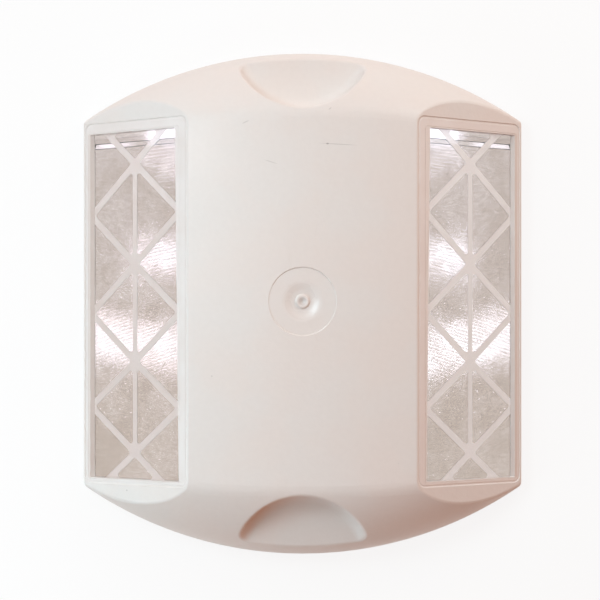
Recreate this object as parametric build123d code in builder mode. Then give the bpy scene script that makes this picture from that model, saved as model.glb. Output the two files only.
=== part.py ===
from build123d import *
import os
from math import atan2, cos, degrees, hypot, radians, sin, sqrt, tan

# Reflective road stud that is bonded flat to the road. Millimetres, +Z up, origin at the middle of the base.
# X runs with the traffic, from one lens face to the other, and Y runs across the lane, end to end.

# Outer form
LENGTH = 88.5  # over the two lens sides, along X
WIDTH = 102.0  # over the two rounded ends, along Y
END_BULGE = 13.75  # each rounded end stands out this far beyond the straight sides
HEIGHT = 17.4  # road to the crest of the deck
CROWN = 1.1  # rise of the deck from its shoulders to its crest
LENS_ANGLE = 30.0  # slope of the two lens faces, in degrees
TOE_HEIGHT = 3.5  # upright edge at the foot of each lens face
END_RUN = 19.3  # plan length over which each end rolls down to the road
END_RISE = 0.6  # the roll's own crest stands this far above the deck, so the two meet in an edge

# Rounded edges of the shell
DECK_ROUND = 6.0  # between deck and rolled end
CORNER_ROUND = 1.0  # upright corners at the ends of the straight sides
FACE_ROUND = 0.8  # all round each lens face

# Shell wall
WALL = 3.2  # deck, lens faces and ends
TOE_WALL = 3.0  # width of the base rim below each lens

# Finger recess in each end
RECESS_RADIUS = 13.5  # where the wall would meet the floor
RECESS_OUT = 0.6  # its axis stands this far outside the rounded end
RECESS_FLOOR = 7.8  # height of the floor at the rounded end
RECESS_TILT = 12.0  # the floor falls outwards by this many degrees
RECESS_DRAFT = 3.0  # the wall leans outwards by this many degrees
RECESS_FILLET = 2.5  # between floor and wall
RECESS_WALL = 3.0  # shell thickness round and below the recess
RECESS_ROUND = 0.7  # edge where the recess breaks out of the surface

# Gate mark in the middle of the deck
GATE_DISC = 13.0  # diameter of the shallow witness disc
GATE_STEP = 0.2  # its depth below the crest, with a 45 degree edge
GATE_DISH = 8.0  # diameter of the dish inside it
GATE_DEPTH = 0.6  # depth of the dish below the crest
GATE_STUB = 3.0  # diameter of the foot of the trimmed gate stub
GATE_STUB_TOP = 2.3  # diameter of its top
GATE_STUB_DROP = 0.25  # its top, below the crest
GATE_PIT = 1.7  # diameter of the pit where the gate tore off

# Lens pocket and tray
POCKET_END = 0.07  # from each end of the lens face, where it is shortest, to the pocket
POCKET_LIP = 0.7  # shell left between the pocket and the edges of the lens face
POCKET_ROUND = 1.2  # corners of the pocket
POCKET_EDGE = 0.35  # bevel round the pocket's mouth
SEAT_GAP = 0.05  # between tray and pocket, all round
RIM_DROP = 0.1  # tray rim below the lens face
FLANGE = 2.2  # thickness of the tray's flange, which sits on the pocket's ledge
LEDGE = 0.9  # width of that ledge
DECK_RIM = 1.4  # width of the tray rim along the deck side of the lens
TOE_RIM = 0.35  # along the toe side
HEAD_RIM = 1.6  # at the +Y end
FOOT_RIM = 0.5  # and at the -Y end
RIM_BEVEL = 0.1  # both edges of the rim

# Lens
LENS_GAP = 0.05  # between lens and tray rim, all round
LENS_DROP = 0.05  # lens face below the tray rim
LENS_THICK = 1.0
LENS_EDGE = 0.1  # bevel round the lens face
LENS_ROUND = 0.5  # corners of the lens
WELD_LEDGE = 0.35  # width of the tray's ledge that the lens is welded to

# Lattice of ribs in the tray, and the prism fields between them
CELL_DEPTH = 0.7  # height of the ribs
CELL_ROUND = 0.5  # corners of the cells
RIB_CROSSINGS = (-29.8, -11.7, 7.6, 27.6)  # places of the crossings along Y
RIB_WIDTH = 1.3
SPINE_WIDTH = 1.0
PRISM_DEPTH = 0.5  # height of the prism fields on the back of the lens
PRISM_GAP = 0.35  # between a prism field and the ribs round it
CLEAR_STRIP = 2.5  # end of the window, on the +Y side, that has no prisms

# Worked out from these
half_length = LENGTH / 2
slope = radians(LENS_ANGLE)
shoulder_z = HEIGHT - CROWN
shoulder_x = half_length - (shoulder_z - TOE_HEIGHT) / tan(slope)
face_width = (half_length - shoulder_x) / cos(slope)

straight_side = WIDTH - 2 * END_BULGE
plan_radius = (half_length**2 + END_BULGE**2) / (2 * END_BULGE)
plan_centre = plan_radius - WIDTH / 2
end_crest = HEIGHT + END_RISE
roll_radius = (END_RUN**2 + end_crest**2) / (2 * end_crest)
shoulder_reach = plan_radius - END_RUN + sqrt(roll_radius**2 - (roll_radius - end_crest + shoulder_z) ** 2)
shoulder_half = sqrt(shoulder_reach**2 - shoulder_x**2) - plan_centre

inner_side_x = half_length - TOE_WALL
inner_foot_x = half_length + (TOE_HEIGHT - WALL / cos(slope)) / tan(slope)
inner_side_z = (inner_foot_x - inner_side_x) * tan(slope)
inner_shoulder_z = shoulder_z - WALL
inner_shoulder_x = inner_foot_x - inner_shoulder_z / tan(slope)

pocket_width = face_width - 2 * POCKET_LIP
pocket_length = 2 * (min(shoulder_half, straight_side / 2) - POCKET_END)
pocket_depth = RIM_DROP + FLANGE
tray_width = pocket_width - 2 * SEAT_GAP
tray_length = pocket_length - 2 * SEAT_GAP
tray_round = POCKET_ROUND - SEAT_GAP
box_width = tray_width - 2 * LEDGE
box_length = tray_length - 2 * LEDGE
opening_width = tray_width - DECK_RIM - TOE_RIM
opening_length = tray_length - HEAD_RIM - FOOT_RIM
opening_out = (DECK_RIM - TOE_RIM) / 2
opening_up = (FOOT_RIM - HEAD_RIM) / 2
seat_depth = RIM_DROP + LENS_DROP + LENS_THICK
cell_width = opening_width - 2 * WELD_LEDGE
cell_length = opening_length - 2 * WELD_LEDGE


def face_plane(side, depth=0.0):
    """Plane of the lens face on the -X or +X side, sunk by depth, with its y along the stud's Y."""
    normal = Vector(side * sin(slope), 0, cos(slope))
    middle = Vector(side * (half_length + shoulder_x) / 2, 0, (TOE_HEIGHT + shoulder_z) / 2)
    return Plane(origin=middle - normal * depth, x_dir=(cos(slope), 0, -side * sin(slope)), z_dir=normal)


def window_plane(side, depth):
    """The same plane, centred on the tray's opening."""
    plane = face_plane(side, depth)
    return plane.shift_origin(plane.from_local_coords((side * opening_out, opening_up, 0)))


def outermost_face(piece, direction):
    """The face that lies furthest along a direction."""
    return piece.faces().sort_by(Axis((0, 0, 0), direction))[-1]


def stud_form(side_x, side_z, shoulder, crest_z, end_radius, end_run, end_crest):
    """Crowned block with two sloping faces, cut to the two rolled ends."""
    far_shoulder = (-shoulder[0], shoulder[1])
    with BuildPart() as form:
        with BuildSketch(Plane.XZ):
            with BuildLine():
                Polyline(
                    shoulder, (side_x, side_z), (side_x, 0), (-side_x, 0), (-side_x, side_z), far_shoulder
                )
                ThreePointArc(shoulder, (0, crest_z), far_shoulder)
            make_face()
        extrude(amount=WIDTH, both=True)
        for end in (-1, 1):
            middle = (0, -end * plan_centre, 0)
            with BuildSketch(Plane(origin=middle, x_dir=(0, end, 0), z_dir=(end, 0, 0))):
                with BuildLine():
                    roll = TangentArc((end_radius - end_run, end_crest), (end_radius, 0), tangent=(1, 0))
                    Polyline(roll @ 0, (0, end_crest), (0, 0), roll @ 1)
                make_face()
            revolve(axis=Axis(middle, (0, 0, 1)), mode=Mode.INTERSECT)
    return form.part


def recess_form(end, grow=0.0):
    """Body of the finger recess at the -Y or +Y end, grown all round by the wall that it needs."""
    tilt = radians(RECESS_TILT)
    floor_z = RECESS_FLOOR - grow
    floor_normal = (0, end * sin(tilt), cos(tilt))
    floor = Plane(origin=(0, end * WIDTH / 2, floor_z), x_dir=(1, 0, 0), z_dir=floor_normal)
    with BuildPart() as recess:
        with BuildSketch(Plane.XY.offset(floor_z - HEIGHT)):
            with Locations((0, end * (WIDTH / 2 + RECESS_OUT))):
                Circle(RECESS_RADIUS + grow - HEIGHT * tan(radians(RECESS_DRAFT)))
        extrude(amount=2 * HEIGHT + grow, taper=-RECESS_DRAFT)
        split(bisect_by=floor, keep=Keep.TOP)
        fillet(recess.faces().sort_by(Axis.Z)[0].edges(), RECESS_FILLET + grow)
    return recess.part


def lies_on(edge, shapes):
    """Whether the middle of an edge lies on one of the faces or edges given."""
    return min(shape.distance_to(edge @ 0.5) for shape in shapes) < 0.001


def mouth_edges(piece, tool):
    """Edges of the last cut where the tool broke out of the piece's surface."""
    skin_edges = [edge for edge in piece.edges(Select.LAST) if lies_on(edge, tool.faces())]
    return [edge for edge in skin_edges if not lies_on(edge, tool.edges())]


def lattice(grow=0.0):
    """Ribs from each crossing to the sides of the window, and the spine, each grown on both sides."""
    crossings = [place - opening_up for place in RIB_CROSSINGS]
    spans = [high - low for low, high in zip(crossings, crossings[1:])]
    with BuildSketch() as ribs:
        with Locations((0, (crossings[0] + crossings[-1]) / 2)):
            Rectangle(SPINE_WIDTH + 2 * grow, crossings[-1] - crossings[0])
        for crossing, below, above in zip(crossings, spans[:1] + spans, spans + spans[-1:]):
            for reach in (-cell_width / 2, cell_width / 2):
                for rise in (-below / 2, above / 2):
                    with Locations((reach / 2, crossing + rise / 2)):
                        Rectangle(
                            hypot(reach, rise) + RIB_WIDTH,
                            RIB_WIDTH + 2 * grow,
                            rotation=degrees(atan2(rise, reach)),
                        )
    return ribs.sketch


# Resin core, cast into the shell from below and level with its rim
with BuildPart() as core:
    add(
        stud_form(
            inner_side_x,
            inner_side_z,
            (inner_shoulder_x, inner_shoulder_z),
            HEIGHT - WALL,
            plan_radius - WALL,
            END_RUN - WALL,
            end_crest - WALL,
        )
    )
    for end in (-1, 1):
        add(recess_form(end, RECESS_WALL), mode=Mode.SUBTRACT)


# Moulded shell
with BuildPart() as shell:
    add(
        stud_form(
            half_length,
            TOE_HEIGHT,
            (shoulder_x, shoulder_z),
            HEIGHT,
            plan_radius,
            END_RUN,
            end_crest,
        )
    )
    fillet(shell.edges().group_by(Axis.Z)[-1], DECK_ROUND)
    for side in (-1, 1):
        toe_face = outermost_face(shell, (side, 0, 0))
        fillet(toe_face.edges().filter_by(Axis.Y, reverse=True), CORNER_ROUND)
        lens_face = outermost_face(shell, face_plane(side).z_dir)
        fillet(lens_face.edges(), FACE_ROUND)

    # Finger recess in each rolled end, with its mouth rounded over
    for end in (-1, 1):
        recess = recess_form(end)
        add(recess, mode=Mode.SUBTRACT)
        fillet(mouth_edges(shell, recess), RECESS_ROUND)

    # Gate mark: a shallow disc, a dish in it, and the trimmed stub in the dish
    with BuildSketch(Plane.XZ):
        with BuildLine():
            foot, lip = Vector(GATE_STUB / 2, HEIGHT - GATE_DEPTH), Vector(GATE_DISH / 2, HEIGHT - GATE_STEP)
            hollow = TangentArc(foot, (foot + lip) / 2, tangent=(1, 0))
            TangentArc(hollow @ 1, lip, tangent=hollow % 1)
            Polyline(
                lip,
                (GATE_DISC / 2, HEIGHT - GATE_STEP),
                (GATE_DISC / 2 + 2 * GATE_STEP, HEIGHT + GATE_STEP),
                (GATE_DISC / 2 + 2 * GATE_STEP, HEIGHT + CROWN),
                (0, HEIGHT + CROWN),
                (0, HEIGHT - GATE_DEPTH),
                (GATE_PIT / 2, HEIGHT - GATE_STUB_DROP),
                (GATE_STUB_TOP / 2, HEIGHT - GATE_STUB_DROP),
                foot,
            )
        make_face()
    revolve(axis=Axis.Z, mode=Mode.SUBTRACT)

    # Lens pockets, each a recess for the tray's flange with a window through the wall for its box
    for side in (-1, 1):
        with BuildSketch(face_plane(side)):
            RectangleRounded(pocket_width, pocket_length, POCKET_ROUND)
        extrude(amount=-pocket_depth, mode=Mode.SUBTRACT)
        lens_face = outermost_face(shell, face_plane(side).z_dir)
        chamfer(lens_face.inner_wires()[0].edges(), POCKET_EDGE)
        with BuildSketch(face_plane(side)):
            RectangleRounded(box_width + 2 * SEAT_GAP, box_length + 2 * SEAT_GAP, POCKET_ROUND)
        extrude(amount=-WALL, mode=Mode.SUBTRACT)

    # The hollow that the resin fills
    add(core.part, mode=Mode.SUBTRACT)


def tray_piece(side):
    """Tray with its flange, the ledge that carries the lens, and the lattice of ribs inside."""
    with BuildPart() as tray:
        with BuildSketch(face_plane(side, RIM_DROP)):
            RectangleRounded(tray_width, tray_length, tray_round)
        extrude(amount=-FLANGE)
        with BuildSketch(face_plane(side, pocket_depth)):
            RectangleRounded(box_width, box_length, tray_round)
        extrude(amount=pocket_depth - WALL)
        with BuildSketch(window_plane(side, RIM_DROP)):
            RectangleRounded(opening_width, opening_length, LENS_ROUND + LENS_GAP)
        extrude(amount=-LENS_DROP - LENS_THICK, mode=Mode.SUBTRACT)
        chamfer(outermost_face(tray, face_plane(side).z_dir).edges(), RIM_BEVEL)
        with BuildSketch(window_plane(side, seat_depth)) as cells:
            Rectangle(cell_width, cell_length)
            add(lattice(), mode=Mode.SUBTRACT)
            fillet(cells.vertices(), CELL_ROUND)
        extrude(amount=-CELL_DEPTH, mode=Mode.SUBTRACT)
    return tray


def lens_piece(side):
    """Clear plate with a bevelled face and, on its back, a prism field for each cell of the tray."""
    with BuildPart() as lens:
        with BuildSketch(window_plane(side, seat_depth)):
            RectangleRounded(opening_width - 2 * LENS_GAP, opening_length - 2 * LENS_GAP, LENS_ROUND)
        extrude(amount=LENS_THICK)
        chamfer(outermost_face(lens, face_plane(side).z_dir).edges(), LENS_EDGE)
        with BuildSketch(window_plane(side, seat_depth)):
            with Locations((0, -CLEAR_STRIP / 2)):
                Rectangle(cell_width - 2 * PRISM_GAP, cell_length - 2 * PRISM_GAP - CLEAR_STRIP)
            add(lattice(PRISM_GAP), mode=Mode.SUBTRACT)
        extrude(amount=-PRISM_DEPTH)
    return lens


pieces = {"body_shell": shell, "potting_core": core}
for side, word in ((-1, "left"), (1, "right")):
    pieces[f"lens_tray_{word}"] = tray_piece(side)
    pieces[f"lens_{word}"] = lens_piece(side)

os.makedirs("parts", exist_ok=True)
for name, piece in pieces.items():
    piece.part.label = name
    export_step(piece.part, f"parts/{name}.step")
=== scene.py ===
import random
from math import cos, pi, radians, sin, sqrt, tan

import bmesh
import bpy
from mathutils import Matrix, Quaternion, Vector


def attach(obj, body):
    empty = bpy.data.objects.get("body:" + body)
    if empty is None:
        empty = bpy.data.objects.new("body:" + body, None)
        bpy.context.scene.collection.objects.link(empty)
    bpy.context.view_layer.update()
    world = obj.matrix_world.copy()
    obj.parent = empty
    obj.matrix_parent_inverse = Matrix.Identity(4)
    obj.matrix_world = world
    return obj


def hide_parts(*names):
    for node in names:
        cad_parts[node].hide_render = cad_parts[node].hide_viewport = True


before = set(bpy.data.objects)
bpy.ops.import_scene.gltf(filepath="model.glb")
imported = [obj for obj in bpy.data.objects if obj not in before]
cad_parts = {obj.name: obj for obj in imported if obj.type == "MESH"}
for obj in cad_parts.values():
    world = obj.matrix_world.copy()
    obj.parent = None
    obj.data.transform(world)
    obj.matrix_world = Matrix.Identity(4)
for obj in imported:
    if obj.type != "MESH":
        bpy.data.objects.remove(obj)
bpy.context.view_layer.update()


# Shell
# The body of the stud: one white ABS moulding with a crowned deck and rolled ends.
# The CAD solid is the moulding itself and gets a satin finish, faintly mottled and scuffed by handling.
MM = 0.001
SHELL_WHITE = (0.735, 0.680, 0.645, 1)
SHELL_COOL = (0.725, 0.690, 0.662, 1)
SHELL_DULL = (0.60, 0.55, 0.52, 1)
SHELL_MOTTLE = 14 * MM
SHELL_SATIN = (0.38, 0.46)
SHELL_IOR = 1.53
FLOW_SIZE = 1.1 * MM
FLOW_DARK = 0.07
FLOW_RELIEF = 0.3
SKIN_SIZE = 1.6 * MM
SKIN_DEPTH = 0.03 * MM
SPECK_GREY = (0.20, 0.17, 0.15, 1)
SPECK_CORE = 0.4
DUST_SPACING = 6 * MM
DUST_RADIUS = 0.22 * MM
DUST_SHARE = 0.22
DUST_DARK = 0.5
DISH_RADIUS = 4.2 * MM
DISH_FULL = 0.8 * DISH_RADIUS
DISH_GLOSS = 0.12
PIT_RADIUS = 0.9 * MM
PIT_FULL = 0.7 * PIT_RADIUS
PIT_SHADE = 0.22
# Noise levels between which one shade passes into another, gradually or more sharply
GRADUAL = (0.30, 0.70)
SHARPER = (0.35, 0.65)
# Middle, length, width and turn of each scuff on the deck, in millimetres and degrees, and how dark it is
SCUFFS = (
    (6.9, 30.3, 9.0, 0.22, -3, 0.30),
    (4.8, 30.4, 0.7, 0.40, 0, 0.62),
    (-11.0, 34.6, 1.9, 0.30, 25, 0.25),
    (-6.1, 26.9, 3.4, 0.25, -18, 0.22),
    (5.3, 37.2, 0.9, 0.25, 40, 0.30),
)


def feed(tree, node, inputs):
    """Sets a node's inputs, or links them to what other nodes give."""
    for key, value in inputs.items():
        if isinstance(value, bpy.types.NodeSocket):
            tree.links.new(value, node.inputs[key])
        else:
            node.inputs[key].default_value = value


def add_node(tree, kind, inputs=None, **settings):
    """One node, with its settings and its inputs."""
    made = tree.nodes.new(kind)
    for key, value in settings.items():
        setattr(made, key, value)
    feed(tree, made, inputs or {})
    return made


def new_finish(name):
    """A node material, its tree, its Principled shader and the place on the piece, for patterns."""
    material = bpy.data.materials.new(name)
    material.use_nodes = True
    tree = material.node_tree
    place = add_node(tree, "ShaderNodeTexCoord").outputs["Object"]
    return material, tree, tree.nodes["Principled BSDF"], place


def calc(tree, operation, first, second=0.0, third=0.0):
    """One Math node's result."""
    return add_node(tree, "ShaderNodeMath", {0: first, 1: second, 2: third}, operation=operation).outputs[0]


def grain(tree, place, size, detail=2.0, roughness=0.5):
    """Noise whose features are about this size."""
    inputs = {"Vector": place, "Scale": 1 / size, "Detail": detail, "Roughness": roughness}
    return add_node(tree, "ShaderNodeTexNoise", inputs).outputs["Fac"]


def fade(tree, value, low, high, out_low=0.0, out_high=1.0):
    """A value remapped smoothly from one range to another."""
    inputs = {"Value": value, "From Min": low, "From Max": high, "To Min": out_low, "To Max": out_high}
    return add_node(tree, "ShaderNodeMapRange", inputs, interpolation_type="SMOOTHSTEP").outputs["Result"]


def blend(tree, amount, first, second, mode="MIX"):
    """Two colours mixed by an amount."""
    inputs = {0: amount, 6: first, 7: second}
    return add_node(tree, "ShaderNodeMix", inputs, data_type="RGBA", blend_type=mode).outputs[2]


def bump(tree, height, depth):
    """A bump of this depth, in metres."""
    inputs = {"Height": height, "Distance": depth, "Strength": 1.0}
    return add_node(tree, "ShaderNodeBump", inputs).outputs["Normal"]


def specks(tree, place, spacing, radius, share):
    """Sparse round specks: one in each Voronoi cell, kept for a share of the cells."""
    cells = add_node(tree, "ShaderNodeTexVoronoi", {"Vector": place, "Scale": 1 / spacing})
    pick = add_node(tree, "ShaderNodeSeparateColor", {"Color": cells.outputs["Color"]}).outputs[0]
    kept = calc(tree, "LESS_THAN", pick, share)
    dot = fade(tree, cells.outputs["Distance"], radius / spacing, SPECK_CORE * radius / spacing)
    return calc(tree, "MULTIPLY", kept, dot)


def scuff(tree, place, x, y, length, width, turn):
    """1 along a small scuff on the deck and 0 round it."""
    inputs = {
        "Vector": place,
        "Location": (x * MM, y * MM, 0),
        "Rotation": (0, 0, radians(turn)),
        "Scale": (length * MM / 2, width * MM / 2, 1),
    }
    own = add_node(tree, "ShaderNodeMapping", inputs, vector_type="TEXTURE").outputs["Vector"]
    away = add_node(tree, "ShaderNodeVectorMath", {0: own}, operation="LENGTH").outputs["Value"]
    return fade(tree, away, 1.0, SPECK_CORE)


def from_axis(tree, place):
    """How far a point is from the stud's upright axis."""
    flat = add_node(tree, "ShaderNodeVectorMath", {0: place, 1: (1, 1, 0)}, operation="MULTIPLY").outputs[0]
    return add_node(tree, "ShaderNodeVectorMath", {0: flat}, operation="LENGTH").outputs["Value"]


def shell_finish():
    material, tree, shader, place = new_finish("shell_moulded_white")
    mottle = fade(tree, grain(tree, place, SHELL_MOTTLE, detail=3.0), *SHARPER)
    flow = fade(tree, grain(tree, place, FLOW_SIZE, detail=3.0, roughness=0.6), *GRADUAL)
    colour = blend(tree, mottle, SHELL_WHITE, SHELL_COOL)
    colour = blend(tree, calc(tree, "MULTIPLY", flow, FLOW_DARK), colour, SHELL_DULL)
    dust = specks(tree, place, DUST_SPACING, DUST_RADIUS, DUST_SHARE)
    colour = blend(tree, calc(tree, "MULTIPLY", dust, DUST_DARK), colour, SPECK_GREY)
    for x, y, length, width, turn, strength in SCUFFS:
        worn = scuff(tree, place, x, y, length, width, turn)
        colour = blend(tree, calc(tree, "MULTIPLY", worn, strength), colour, SPECK_GREY)
    off_axis = from_axis(tree, place)
    # Painted shade in the gate's pit: the deck is darkened towards the stud's axis
    pit_shade = fade(tree, off_axis, PIT_RADIUS, PIT_FULL, 0.0, PIT_SHADE)
    satin = fade(tree, mottle, 0.0, 1.0, *SHELL_SATIN)
    gloss = calc(tree, "MULTIPLY", fade(tree, off_axis, DISH_RADIUS, DISH_FULL), DISH_GLOSS)
    pores = grain(tree, place, SKIN_SIZE, detail=4.0, roughness=0.55)
    skin = calc(tree, "ADD", pores, calc(tree, "MULTIPLY", flow, FLOW_RELIEF))
    finish = {
        "Base Color": blend(tree, pit_shade, colour, SPECK_GREY),
        "Roughness": calc(tree, "SUBTRACT", satin, gloss),
        "Normal": bump(tree, skin, SKIN_DEPTH),
        "IOR": SHELL_IOR,
    }
    feed(tree, shader, finish)
    return material


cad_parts["body_shell"].data.materials[0] = shell_finish()


# Lens trays
# One white moulding in each pocket: a flat rim round the lens and, under it, a lattice of ribs on a spine.
# The CAD solids stay, seated on the pocket's ledge. In the window they are flashed with the prisms' silver.
TRAY_WHITE = (0.745, 0.690, 0.660, 1)
TRAY_PALE = (0.765, 0.720, 0.695, 1)
TRAY_MOTTLE = 6 * MM
TRAY_SATIN = (0.34, 0.46)
SATIN_SIZE = 2 * MM
TRAY_SKIN_SIZE = 0.9 * MM
TRAY_SKIN_DEPTH = 0.02 * MM
FLASH_PALE = (0.83, 0.83, 0.845, 1)
FLASH_SHEEN = 0.9
FLASH_GLOSS = 0.05
FLASH_START = 0.5 * MM
FLASH_FULL = 0.8 * MM
LENS_SLOPE = radians(30)

uphill = Vector((cos(LENS_SLOPE), 0, sin(LENS_SLOPE)))
outward = Vector((-sin(LENS_SLOPE), 0, cos(LENS_SLOPE)))
lens_points = [vertex.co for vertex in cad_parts["lens_left"].data.vertices]
lens_face = max(point.dot(outward) for point in lens_points)


def tray_colour(tree, place):
    """The tray's white plastic, faintly mottled."""
    mottle = fade(tree, grain(tree, place, TRAY_MOTTLE, detail=3.0), *SHARPER)
    return blend(tree, mottle, TRAY_WHITE, TRAY_PALE)


def tray_satin(tree, place):
    """The uneven satin of the tray's plastic."""
    return fade(tree, grain(tree, place, SATIN_SIZE), *GRADUAL, *TRAY_SATIN)


def tray_finish():
    material, tree, shader, place = new_finish("tray_moulded_white")
    x, _, z = add_node(tree, "ShaderNodeSeparateXYZ", {0: place}).outputs
    across = calc(tree, "MULTIPLY", calc(tree, "ABSOLUTE", x), sin(LENS_SLOPE))
    height = calc(tree, "MULTIPLY_ADD", z, cos(LENS_SLOPE), across)
    flash = fade(tree, height, lens_face - FLASH_START, lens_face - FLASH_FULL)
    gloss = calc(tree, "MULTIPLY", flash, FLASH_GLOSS)
    pores = grain(tree, place, TRAY_SKIN_SIZE, detail=3.0)
    skin = calc(tree, "MULTIPLY", pores, calc(tree, "SUBTRACT", 1.0, flash))
    finish = {
        "Base Color": blend(tree, flash, tray_colour(tree, place), FLASH_PALE),
        "Metallic": calc(tree, "MULTIPLY", flash, FLASH_SHEEN),
        "Roughness": calc(tree, "SUBTRACT", tray_satin(tree, place), gloss),
        "Normal": bump(tree, skin, TRAY_SKIN_DEPTH),
    }
    feed(tree, shader, finish)
    return material


tray_white = tray_finish()
for side in ("left", "right"):
    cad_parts[f"lens_tray_{side}"].data.materials[0] = tray_white


# Prism fields
# The acrylic back of each lens: fine corner prisms between the ribs, which throw light back like silver.
# Each field is a sheet of triangles, trimmed to its cell, pressed into shallow corners and closed below.
PLATE_THICK = 1.0 * MM
FIELD_DEPTH = 0.5 * MM
FIELD_GAP = 0.02 * MM
FIELD_TILT = radians(0.05)
AIR_GAP = 0.02 * MM
CELLS_INSET = 0.30 * MM
CLEAR_STRIP = 2.85 * MM
# Where the ribs cross on the spine, in millimetres along the stud
RIB_CROSSINGS = (-29.8, -11.7, 7.6, 27.6)
RIB_WIDTH = 1.3 * MM
SPINE_WIDTH = 1.0 * MM
# How far out a point inside the outer and the inner cells lies, as a share of the window's half width
OUTER_CELL = 0.9
INNER_CELL = 0.3
PRISM_SEED = 11
PRISM_PITCH = 0.32 * MM
PRISM_SLOPE = radians(14)
PRISM_TURN = radians(-6.5)
PRISM_STRAY = 0.003
PRISM_PALE = (-1.0, 1.0)
BAD_PRISMS = 0.025
BAD_STRAY = 0.08
SPARE = 0.5 * MM
SPARE_ROWS = 12
CUT_TOLERANCE = 0.0001 * MM
# Start and end of each plain strip above the prisms, in millimetres, its slope in degrees and how pale it is
END_STRIPS = (
    (0.1, 1.0, 14, 0.5),
    # A paleness below zero is painted shade: this middle strip is painted as a dark band between the bar and
    # the ledge
    (1.1, 2.0, 0, -0.7),
    (2.0, 2.85, 0, 0.5),
)
SILVER_DARK = (0.71, 0.71, 0.70, 1)
SILVER_PALE = (0.815, 0.835, 0.855, 1)
SILVER_SHADE = (0.30, 0.26, 0.23, 1)
SILVER_GLOSS = (0.04, 0.09)
FOOT_PAINTED_SHADE = (0.975, 0.965, 0.94, 1)
HEAD_PAINTED_LIGHT = (1.0, 1.01, 1.03, 1)
CLOUD_SIZE = 9 * MM
SMEAR_SIZE = 3 * MM
TONE_AND_SHADE_RANGE = (-1.0, 0.5)
TONE_AND_SHADE_DARK = 0.22
STREAK_LENGTH = 1.6 * MM
STREAK_WIDTH = 0.43 * MM
STREAK_DARK = 0.12

slope_low = min(point.dot(uphill) for point in lens_points)
slope_high = max(point.dot(uphill) for point in lens_points)
lens_foot = min(point.y for point in lens_points)
lens_head = max(point.y for point in lens_points)
plate_width = slope_high - slope_low
plate_length = lens_head - lens_foot
lens_middle = uphill * (slope_low + slope_high) / 2 + outward * lens_face
lens_middle.y = (lens_foot + lens_head) / 2
lens_seat = Matrix((uphill, (0, 1, 0), outward)).transposed().to_4x4()
lens_seat.translation = lens_middle

cell_side = plate_width / 2 - CELLS_INSET
cell_end = plate_length / 2 - CELLS_INSET
field_end = cell_end - CLEAR_STRIP
crossings = [crossing * MM - lens_middle.y for crossing in RIB_CROSSINGS]
half_spans = [(high - low) / 2 for low, high in zip(crossings, crossings[1:])]
drops = half_spans[:1] + half_spans
rises = half_spans + half_spans[-1:]


def lattice_cells():
    """For each cell, a point inside it and the ribs round it, each a start, an end and a half width."""
    for lean in (-1, 1):
        side = lean * cell_side
        for height, drop, rise in zip(crossings, drops, rises):
            crossing = Vector((0, height, 0))
            ribs = [(crossing, Vector((side, height + reach, 0)), RIB_WIDTH / 2) for reach in (-drop, rise)]
            yield Vector((OUTER_CELL * side, height, 0)), ribs
        for low, high in zip(crossings, crossings[1:]):
            ends = Vector((0, low, 0)), Vector((0, high, 0))
            meeting = Vector((side, (low + high) / 2, 0))
            ribs = [(end, meeting, RIB_WIDTH / 2) for end in ends]
            yield Vector((INNER_CELL * side, meeting.y, 0)), ribs + [(*ends, SPINE_WIDTH / 2)]
    for height, reach in ((crossings[0], -drops[0]), (crossings[-1], rises[-1])):
        crossing = Vector((0, height, 0))
        ribs = [(crossing, Vector((lean * cell_side, height + reach, 0)), RIB_WIDTH / 2) for lean in (-1, 1)]
        yield crossing + Vector((0, reach, 0)), ribs


def trim(sheet, start, end, margin, inside):
    """Cuts a sheet along a line and keeps the side that a point inside it is on, less a margin."""
    away = (end - start).cross(Vector((0, 0, 1))).normalized()
    if away.dot(inside - start) > 0:
        away.negate()
    bmesh.ops.bisect_plane(
        sheet,
        geom=sheet.verts[:] + sheet.edges[:] + sheet.faces[:],
        dist=CUT_TOLERANCE,
        plane_co=start - away * margin,
        plane_no=away,
        clear_outer=True,
    )


def trim_to_window(sheet, low, high, margin):
    """Cuts a sheet down to the width of the window and to two heights, less a margin."""
    corners = [Vector((lean * cell_side, y, 0)) for lean, y in ((-1, low), (1, low), (1, high), (-1, high))]
    inside = Vector((0, (low + high) / 2, 0))
    for start, end in zip(corners, corners[1:] + corners[:1]):
        trim(sheet, start, end, margin, inside)


def trim_to_cell(sheet, inside, ribs, margin):
    """Cuts a sheet down to one cell of the lattice, less a margin."""
    for start, end, half in ribs:
        trim(sheet, start, end, half + margin, inside)


def prism_sheet():
    """A flat sheet of equal triangles a little larger than the window, its rows turned a little."""
    sheet = bmesh.new()
    rows = int(2 * cell_end / (PRISM_PITCH * sqrt(3) / 2)) + SPARE_ROWS
    bmesh.ops.create_grid(sheet, x_segments=rows, y_segments=rows, size=rows * PRISM_PITCH / 2)
    bmesh.ops.triangulate(sheet, faces=sheet.faces[:], quad_method="FIXED")
    shear = Matrix(((1, -0.5, 0, 0), (0, sqrt(3) / 2, 0, 0), (0, 0, 1, 0), (0, 0, 0, 1)))
    bmesh.ops.transform(sheet, matrix=Matrix.Rotation(PRISM_TURN, 4, "Z") @ shear, verts=sheet.verts)
    trim_to_window(sheet, -cell_end, field_end, -SPARE)
    return sheet


def press(field, chance):
    """Presses each triangle of a sheet into a corner of three small mirrors, a few of them out of true."""
    pale = field.verts.layers.float["pale"]
    offset = -tan(PRISM_SLOPE) / 2
    pressed = bmesh.ops.poke(
        field, faces=field.faces[:], offset=offset, center_mode="MEAN", use_relative_offset=True
    )
    for tip in pressed["verts"]:
        stray = BAD_STRAY if chance.random() < BAD_PRISMS else PRISM_STRAY
        tip.co.x += chance.uniform(-stray, stray) * PRISM_PITCH
        tip.co.y += chance.uniform(-stray, stray) * PRISM_PITCH
        tip[pale] = chance.uniform(*PRISM_PALE)


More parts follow.
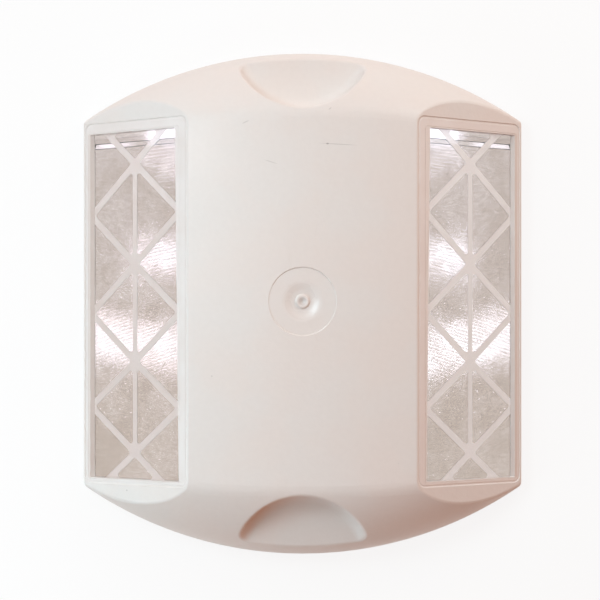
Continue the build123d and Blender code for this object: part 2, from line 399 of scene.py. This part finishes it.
def plain_sheet(low, high, slope):
    """A plain strip across the head of the lens, sloped towards its end."""
    sheet = bmesh.new()
    bmesh.ops.create_grid(sheet, x_segments=1, y_segments=1, size=cell_end)
    trim_to_window(sheet, low, high, FIELD_GAP)
    middle = Vector((0, (low + high) / 2, 0))
    bmesh.ops.rotate(sheet, cent=middle, matrix=Matrix.Rotation(-slope, 3, "X"), verts=sheet.verts)
    return sheet


def add_cells(mesh, sheet, chance, shade=None):
    """Adds the part of a sheet in each cell: plain and of one shade, or else pressed into prisms."""
    pale = sheet.verts.layers.float.new("pale")
    for vertex in sheet.verts:
        vertex[pale] = shade or 0.0
    for inside, ribs in lattice_cells():
        field = sheet.copy()
        if shade is None:
            trim_to_cell(field, inside, ribs, -SPARE)
            press(field, chance)
            trim_to_window(field, -cell_end, field_end, FIELD_GAP)
        trim_to_cell(field, inside, ribs, FIELD_GAP)
        for axis in ("X", "Y"):
            turn = Matrix.Rotation(chance.uniform(-FIELD_TILT, FIELD_TILT), 3, axis)
            bmesh.ops.rotate(field, cent=inside, matrix=turn, verts=field.verts)
        if field.faces:
            top = max(vertex.co.z for vertex in field.verts)
            bmesh.ops.translate(field, vec=(0, 0, -AIR_GAP - top), verts=field.verts)
            data = bpy.data.meshes.new("field")
            field.to_mesh(data)
            mesh.from_mesh(data)
            bpy.data.meshes.remove(data)
        field.free()
    sheet.free()


def prism_fields():
    """All prism fields of the left lens, on the plane of its back."""
    chance = random.Random(PRISM_SEED)
    mesh = bmesh.new()
    mesh.verts.layers.float.new("pale")
    add_cells(mesh, prism_sheet(), chance)
    for low, high, slope, shade in END_STRIPS:
        strip = plain_sheet(field_end + low * MM, field_end + high * MM, radians(slope))
        add_cells(mesh, strip, chance, shade)
    rows = mesh.verts.layers.float_vector.new("rows")
    to_rows = Matrix.Rotation(-PRISM_TURN, 3, "Z")
    for vertex in mesh.verts:
        along, across, _ = to_rows @ vertex.co
        vertex[rows] = along / STREAK_LENGTH, across / STREAK_WIDTH, 0
    rim = [edge for edge in mesh.edges if edge.is_boundary]
    walls = bmesh.ops.extrude_edge_only(mesh, edges=rim)["geom"]
    for vertex in walls:
        if isinstance(vertex, bmesh.types.BMVert):
            vertex.co.z = -FIELD_DEPTH
    bmesh.ops.holes_fill(mesh, edges=[edge for edge in mesh.edges if edge.is_boundary], sides=0)
    bmesh.ops.recalc_face_normals(mesh, faces=mesh.faces[:])
    bmesh.ops.transform(mesh, matrix=lens_seat @ Matrix.Translation((0, 0, -PLATE_THICK)), verts=mesh.verts)
    return mesh


def both_sides(mesh, name, material, replaced):
    """The left piece and its mirror image on the right, riding on the stud."""
    made = []
    for side in ("left", "right"):
        if side == "right":
            bmesh.ops.transform(mesh, matrix=Matrix.Scale(-1, 4, (1, 0, 0)), verts=mesh.verts)
            bmesh.ops.reverse_faces(mesh, faces=mesh.faces[:])
        data = bpy.data.meshes.new(f"{name}_{side}")
        mesh.to_mesh(data)
        data.materials.append(material)
        piece = bpy.data.objects.new(f"{name}_{side}", data)
        bpy.context.scene.collection.objects.link(piece)
        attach(piece, "root")
        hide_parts(f"{replaced}_{side}")
        made.append(piece)
    mesh.free()
    return made


def silver_finish():
    material, tree, shader, place = new_finish("prism_silver")
    cloud = fade(tree, grain(tree, place, CLOUD_SIZE, detail=3.0), *SHARPER)
    colour = blend(tree, cloud, SILVER_DARK, SILVER_PALE)
    tip = add_node(tree, "ShaderNodeAttribute", attribute_name="pale").outputs["Fac"]
    # Each prism is darkened at random by its paleness, and the strip of low paleness gets a painted dark
    # band, painted shade
    groove = fade(tree, tip, *TONE_AND_SHADE_RANGE, TONE_AND_SHADE_DARK, 0.0)
    colour = blend(tree, groove, colour, SILVER_SHADE)
    rows = add_node(tree, "ShaderNodeAttribute", attribute_name="rows").outputs["Vector"]
    streak = fade(tree, grain(tree, rows, 1.0, detail=1.0), *SHARPER, 0.0, STREAK_DARK)
    colour = blend(tree, streak, colour, SILVER_SHADE)
    # Painted light and shade: the silver is painted darker and warmer towards the lens's foot, paler and
    # cooler towards its head
    y = add_node(tree, "ShaderNodeSeparateXYZ", {0: place}).outputs[1]
    tint = blend(tree, fade(tree, y, lens_foot, lens_head), FOOT_PAINTED_SHADE, HEAD_PAINTED_LIGHT)
    smear = grain(tree, place, SMEAR_SIZE, detail=3.0)
    finish = {
        "Base Color": blend(tree, 1.0, colour, tint, "MULTIPLY"),
        "Roughness": fade(tree, smear, *GRADUAL, *SILVER_GLOSS),
        "Metallic": 1.0,
    }
    feed(tree, shader, finish)
    return material


both_sides(prism_fields(), "prism_fields", silver_finish(), "lens")


# Lens plates
# A clear acrylic plate over each lattice, its front edges eased, welded to the tray's ledge and to the ribs.
# Cut as a bevelled block. Lamps pass through it without a shadow, so what lies behind is lit.
PLATE_CORNER = 0.5 * MM
PLATE_EDGE = 0.1 * MM
CORNER_STEPS = 5
EDGE_STEPS = 3
WELD_LINE = 0.02 * MM
ACRYLIC = (0.90, 0.83, 0.79, 1)
ACRYLIC_IOR = 1.49
HAZE_SIZE = 4 * MM
HAZE_RANGE = (0.4, 0.8)
HAZE = (0.03, 0.07)
RIPPLE_SIZE = 3 * MM
RIPPLE_DEPTH = 0.004 * MM


def ease(mesh, geom, radius, steps, affect="EDGES"):
    """Rounds edges, or the corners of a flat sheet."""
    bmesh.ops.bevel(mesh, geom=geom, offset=radius, affect=affect, segments=steps, profile=0.5, material=-1)


def plate():
    thick = PLATE_THICK - WELD_LINE
    mesh = bmesh.new()
    bmesh.ops.create_cube(mesh, size=1)
    bmesh.ops.scale(mesh, vec=(plate_width, plate_length, thick), verts=mesh.verts)
    upright = [edge for edge in mesh.edges if abs(edge.verts[0].co.z - edge.verts[1].co.z) > thick / 2]
    ease(mesh, upright, PLATE_CORNER, CORNER_STEPS)
    face = max(mesh.faces, key=lambda face: face.calc_center_median().z)
    ease(mesh, face.edges[:], PLATE_EDGE, EDGE_STEPS)
    bmesh.ops.recalc_face_normals(mesh, faces=mesh.faces[:])
    bmesh.ops.transform(mesh, matrix=lens_seat @ Matrix.Translation((0, 0, -thick / 2)), verts=mesh.verts)
    return mesh


def clear_finish():
    material, tree, shader, place = new_finish("lens_acrylic")
    haze = grain(tree, place, HAZE_SIZE, detail=3.0)
    finish = {
        "Base Color": ACRYLIC,
        "Transmission Weight": 1.0,
        "IOR": ACRYLIC_IOR,
        "Roughness": fade(tree, haze, *HAZE_RANGE, *HAZE),
        "Normal": bump(tree, grain(tree, place, RIPPLE_SIZE), RIPPLE_DEPTH),
    }
    feed(tree, shader, finish)
    return material


for piece in both_sides(plate(), "lens_plate", clear_finish(), "lens"):
    piece.visible_shadow = False
    piece.visible_diffuse = False


# Weld beads
# The tray's plastic, squeezed up round each plate as it was welded in, with painted shade that turns it
# darker beige at the toe.
# A frame cut from a rounded sheet and drawn down, wide and sloped at the toe, wide at the upper inner corner.
BEAD_OUT = 0.07 * MM
BEAD_WIDTH = 0.22 * MM
BEAD_TOE = 0.3 * MM
BEAD_FILLET = 0.7 * MM
BEAD_WEDGE = 0.9 * MM
BEAD_HIGH = 0.03 * MM
BEAD_TOE_SHADE = (0.69, 0.615, 0.575, 1)
TOE_START = 42.5 * MM
TOE_FULL = 42.9 * MM


def ring(width, length, corner, thick, toe=0.0, wedge=0.0):
    """A flat rounded frame, its two long sides widened at the toe and, towards the head, at the deck."""
    mesh = bmesh.new()
    bmesh.ops.create_grid(mesh, x_segments=1, y_segments=1, size=0.5)
    bmesh.ops.scale(mesh, vec=(width, length, 1), verts=mesh.verts)
    ease(mesh, mesh.verts[:], corner, CORNER_STEPS, "VERTICES")
    sheet = mesh.faces[:]
    bmesh.ops.inset_region(mesh, faces=sheet, thickness=thick, use_boundary=True, use_even_offset=True)
    inner = mesh.verts.layers.int.new("inner")
    for vertex in {vertex for face in sheet for vertex in face.verts}:
        vertex[inner] = 1
        if vertex.co.x < 0:
            vertex.co.x += toe
        else:
            vertex.co.x -= wedge * (vertex.co.y / length + 0.5)
    bmesh.ops.delete(mesh, geom=sheet, context="FACES")
    return mesh


def draw_down(mesh, depth, place, fillet=0.0):
    """Draws a flat frame out to a depth, sloped inwards at the toe, and sets it in the lens's place."""
    drawn = bmesh.ops.extrude_face_region(mesh, geom=mesh.faces[:])["geom"]
    lower = [item for item in drawn if isinstance(item, bmesh.types.BMVert)]
    bmesh.ops.translate(mesh, vec=(0, 0, -depth), verts=lower)
    inner = mesh.verts.layers.int["inner"]
    toe = [vertex for vertex in lower if vertex[inner] and vertex.co.x < 0]
    bmesh.ops.translate(mesh, vec=(fillet, 0, 0), verts=toe)
    mesh.verts.layers.int.remove(inner)
    bmesh.ops.recalc_face_normals(mesh, faces=mesh.faces[:])
    bmesh.ops.transform(mesh, matrix=lens_seat @ Matrix.Translation(place), verts=mesh.verts)
    return mesh


def weld_bead():
    size = plate_width + 2 * BEAD_OUT, plate_length + 2 * BEAD_OUT
    mesh = ring(*size, PLATE_CORNER, BEAD_WIDTH, BEAD_TOE, BEAD_WEDGE)
    return draw_down(mesh, PLATE_THICK + BEAD_HIGH - WELD_LINE, (0, 0, BEAD_HIGH), BEAD_FILLET)


def bead_finish():
    material, tree, shader, place = new_finish("weld_bead_plastic")
    x = add_node(tree, "ShaderNodeSeparateXYZ", {0: place}).outputs[0]
    # Painted shade: the bead is painted darker beige towards the toe
    toe = fade(tree, calc(tree, "ABSOLUTE", x), TOE_START, TOE_FULL)
    finish = {
        "Base Color": blend(tree, toe, tray_colour(tree, place), BEAD_TOE_SHADE),
        "Roughness": tray_satin(tree, place),
    }
    feed(tree, shader, finish)
    return material


both_sides(weld_bead(), "weld_bead", bead_finish(), "lens")


# Seals
# A line of white sealant that fills most of the groove between each tray and its pocket.
# Made as a rounded frame that runs a little into the tray and into the shell.
SEAL_OUT = 0.28 * MM
SEAL_WIDTH = 0.45 * MM
SEAL_CORNER = 1.35 * MM
SEAL_LOW = 0.02 * MM
SEAL_DEPTH = 0.35 * MM


def seal():
    back = lens_seat.inverted()
    points = [back @ vertex.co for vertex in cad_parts["lens_tray_left"].data.vertices]
    low_x, high_x = min(point.x for point in points), max(point.x for point in points)
    low_y, high_y = min(point.y for point in points), max(point.y for point in points)
    mesh = ring(high_x - low_x + 2 * SEAL_OUT, high_y - low_y + 2 * SEAL_OUT, SEAL_CORNER, SEAL_WIDTH)
    return draw_down(mesh, SEAL_DEPTH, ((low_x + high_x) / 2, (low_y + high_y) / 2, -SEAL_LOW))


both_sides(seal(), "seal", tray_white, "lens")


# Potting core
# Sand-filled resin poured into the shell from below and struck off level with its rim.
# The CAD solid stays. Only its flat base shows, with grains of sand and a few pinholes.
RESIN_DARK = (0.30, 0.275, 0.245, 1)
RESIN_PALE = (0.52, 0.49, 0.45, 1)
RESIN_ROUGH = (0.65, 0.9)
RESIN_RELIEF = 0.15 * MM
SAND_SIZE = 1.1 * MM
PINHOLE_SHADE = (0.10, 0.09, 0.08, 1)
PINHOLE_SPACING = 4 * MM
PINHOLE_RADIUS = 0.5 * MM
PINHOLE_SHARE = 0.3


def resin_finish():
    material, tree, shader, place = new_finish("potting_sand_resin")
    sand = grain(tree, place, SAND_SIZE, detail=4.0, roughness=0.7)
    colour = blend(tree, fade(tree, sand, *GRADUAL), RESIN_DARK, RESIN_PALE)
    pinholes = specks(tree, place, PINHOLE_SPACING, PINHOLE_RADIUS, PINHOLE_SHARE)
    finish = {
        # The pinholes are painted near black, painted shade inside them, and dented by the bump
        "Base Color": blend(tree, pinholes, colour, PINHOLE_SHADE),
        "Roughness": fade(tree, sand, *GRADUAL, *RESIN_ROUGH),
        "Normal": bump(tree, calc(tree, "SUBTRACT", sand, pinholes), RESIN_RELIEF),
    }
    feed(tree, shader, finish)
    return material


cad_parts["potting_core"].data.materials[0] = resin_finish()


# Floor
# A plain sheet of pale paper just under the stud, clear from below.
# The camera sees it as white but for the stud's own shadow. The light that it throws back is warm.
FLOOR_HALF = 1.5
FLOOR_DROP = 0.02 * MM
FLOOR_GREY = (0.86, 0.86, 0.86, 1)
FLOOR_BOUNCE = (0.81, 0.69, 0.61, 1)
FLOOR_ROUGH = 0.9
FLOOR_GLOW = 0.86
GLOW_START = 0.1
GLOW_FULL = 0.5

floor_mesh = bmesh.new()
bmesh.ops.create_grid(floor_mesh, x_segments=1, y_segments=1, size=FLOOR_HALF)
bmesh.ops.translate(floor_mesh, vec=(0, 0, -FLOOR_DROP), verts=floor_mesh.verts)
floor_data = bpy.data.meshes.new("floor")
floor_mesh.to_mesh(floor_data)
floor_mesh.free()
floor = bpy.data.objects.new("floor", floor_data)
bpy.context.scene.collection.objects.link(floor)


def seen_directly(tree):
    """1 for rays from the camera and for mirrored or refracted ones, 0 for light that falls on the stud."""
    rays = add_node(tree, "ShaderNodeLightPath").outputs
    seen = calc(tree, "MAXIMUM", rays["Is Camera Ray"], rays["Is Glossy Ray"])
    seen = calc(tree, "MAXIMUM", seen, rays["Is Transmission Ray"])
    return calc(tree, "MULTIPLY", seen, calc(tree, "LESS_THAN", rays["Diffuse Depth"], 0.5))


def floor_finish():
    material, tree, shader, place = new_finish("floor_paper")
    seen = seen_directly(tree)
    feed(tree, shader, {"Base Color": blend(tree, seen, FLOOR_BOUNCE, FLOOR_GREY), "Roughness": FLOOR_ROUGH})
    glow = add_node(tree, "ShaderNodeEmission", {"Strength": 1.0})
    near_or_far = fade(tree, from_axis(tree, place), GLOW_START, GLOW_FULL, FLOOR_GLOW, 1.0)
    share = calc(tree, "MULTIPLY", seen, near_or_far)
    paper = add_node(tree, "ShaderNodeMixShader", {0: share, 1: shader.outputs[0], 2: glow.outputs[0]})
    below = add_node(tree, "ShaderNodeNewGeometry").outputs["Backfacing"]
    clear = add_node(tree, "ShaderNodeBsdfTransparent")
    top_only = add_node(tree, "ShaderNodeMixShader", {0: below, 1: paper.outputs[0], 2: clear.outputs[0]})
    feed(tree, tree.nodes["Material Output"], {"Surface": top_only.outputs[0]})
    return material


floor_data.materials.append(floor_finish())


# Room
# What light rays find round the stud: a little from everywhere, more from each side, warm but for the head.
# The camera, mirrors and the lens see it as plain white.
ROOM_WHITE = (1, 1, 1, 1)
ROOM_EVEN = (0.05, 0.01, 0, 1)
ROOM_SIDES = (
    ((1, 0, 0), (0.46, 0.18, 0.03, 1)),
    ((-1, 0, 0), (0.40, 0.345, 0.315, 1)),
    ((0, 1, 0), (1.33, 1.22, 1.22, 1)),
    ((0, -1, 0), (0.25, 0.04, 0, 1)),
    ((0, 0, -1), (1.2, 1.2, 1.2, 1)),
)

room = bpy.data.worlds.new("room")
bpy.context.scene.world = room
room.use_nodes = True
tree = room.node_tree
ray = add_node(tree, "ShaderNodeTexCoord").outputs["Generated"]
room_light = ROOM_EVEN
for way, colour in ROOM_SIDES:
    facing = add_node(tree, "ShaderNodeVectorMath", {0: ray, 1: way}, operation="DOT_PRODUCT")
    room_light = blend(tree, facing.outputs["Value"], room_light, colour, "ADD")
room_seen = blend(tree, seen_directly(tree), room_light, ROOM_WHITE)
feed(tree, tree.nodes["Background"], {"Color": room_seen, "Strength": 1.0})


# Lamps
# A few soft boxes, cool and strongest from the left, and small lamps far to each side that the prisms mirror.
# Each is an area lamp aimed at the middle of the stud or of a lens.
STUD_MIDDLE = (0, 0, 0.012)
LENS_OUT = 0.034
LENS_UP = 0.009
# Name, place, aim, size, brightness and tint of each soft box, and whether mirrors and the lens show it
SOFT_BOXES = (
    ("overhead", (-0.092, 0.053, 0.182), STUD_MIDDLE, 0.070, 10.7, (0.68, 0.92, 1.01), True),
    ("far_right", (0.122, 0.146, 0.122), STUD_MIDDLE, 0.080, 4.7, (0.89, 1.0, 0.97), True),
    ("near_left", (-0.163, -0.114, 0.105), STUD_MIDDLE, 0.080, 8.45, (0.58, 0.91, 1.01), False),
    ("rib_right", (0.448, 0.014, 0.289), (LENS_OUT, 0, LENS_UP), 0.060, 1.6, (0.88, 0.95, 1.0), True),
)
# Place, width, height, brightness and roll of the small lamps that each lens mirrors, for the left one
LENS_LAMPS = (
    ((-0.460, 0.186, 0.192), 0.023, 0.062, 4.5, 5),
    ((-0.477, -0.189, 0.143), 0.023, 0.062, 4.5, -29),
    ((-0.441, 0.229, 0.190), 0.016, 0.030, 4.5, 0),
    ((-0.483, -0.152, 0.167), 0.016, 0.030, 4.5, 0),
    ((-0.421, 0.271, 0.173), 0.015, 0.022, 4.0, 0),
    ((-0.475, 0.103, 0.223), 0.012, 0.026, 3.0, 0),
    ((-0.441, 0.2655, 0.125), 0.024, 0.022, 1.2, 25),
)
LENS_LAMP_TINTS = (0.81, 0.86, 1.10), (0.84, 0.96, 1.22)


def soft_light(name, place, aim, wide, tall, level, tint, roll=0):
    """A soft box at a place, aimed at a point, whose face is this bright."""
    lamp = bpy.data.lights.new(name, "AREA")
    lamp.shape = "RECTANGLE"
    lamp.size = wide
    lamp.size_y = tall
    lamp.energy = pi * wide * tall * level
    lamp.color = tint
    light = bpy.data.objects.new(name, lamp)
    light.location = place
    light.rotation_mode = "QUATERNION"
    facing = (Vector(aim) - Vector(place)).to_track_quat("-Z", "Y")
    light.rotation_quaternion = facing @ Quaternion((0, 0, 1), radians(roll))
    light.visible_camera = False
    bpy.context.scene.collection.objects.link(light)
    return light


for name, place, aim, size, level, tint, mirrored in SOFT_BOXES:
    light = soft_light(name, place, aim, size, size, level, tint)
    light.visible_glossy = mirrored
    light.visible_transmission = mirrored
for lean, side, tint in zip((1, -1), ("left", "right"), LENS_LAMP_TINTS):
    aim = (-LENS_OUT * lean, 0, LENS_UP)
    for number, ((x, y, z), wide, tall, level, roll) in enumerate(LENS_LAMPS):
        soft_light(f"lens_{side}_{number}", (x * lean, y, z), aim, wide, tall, level, tint, roll * lean)


# Camera
# Straight above the stud, as in the photograph, with the picture's middle a little off the camera's axis.
# All sizes are of a 600 pixel square picture.
CAMERA_PLACE = (0, -8.6 * MM, 300 * MM)
SENSOR = 36.0
PIXELS = 600
PIXELS_PER_MM = 4.8907
SHIFT_PIXELS = (-2.6, 46.0)

camera_data = bpy.data.cameras.new("camera")
camera_data.sensor_width = SENSOR
camera_data.lens = PIXELS_PER_MM * CAMERA_PLACE[2] / MM * SENSOR / PIXELS
camera_data.shift_x = SHIFT_PIXELS[0] / PIXELS
camera_data.shift_y = SHIFT_PIXELS[1] / PIXELS
camera = bpy.data.objects.new("camera", camera_data)
camera.location = CAMERA_PLACE
bpy.context.scene.collection.objects.link(camera)
bpy.context.scene.camera = camera
bpy.context.scene.view_settings.view_transform = "Standard"
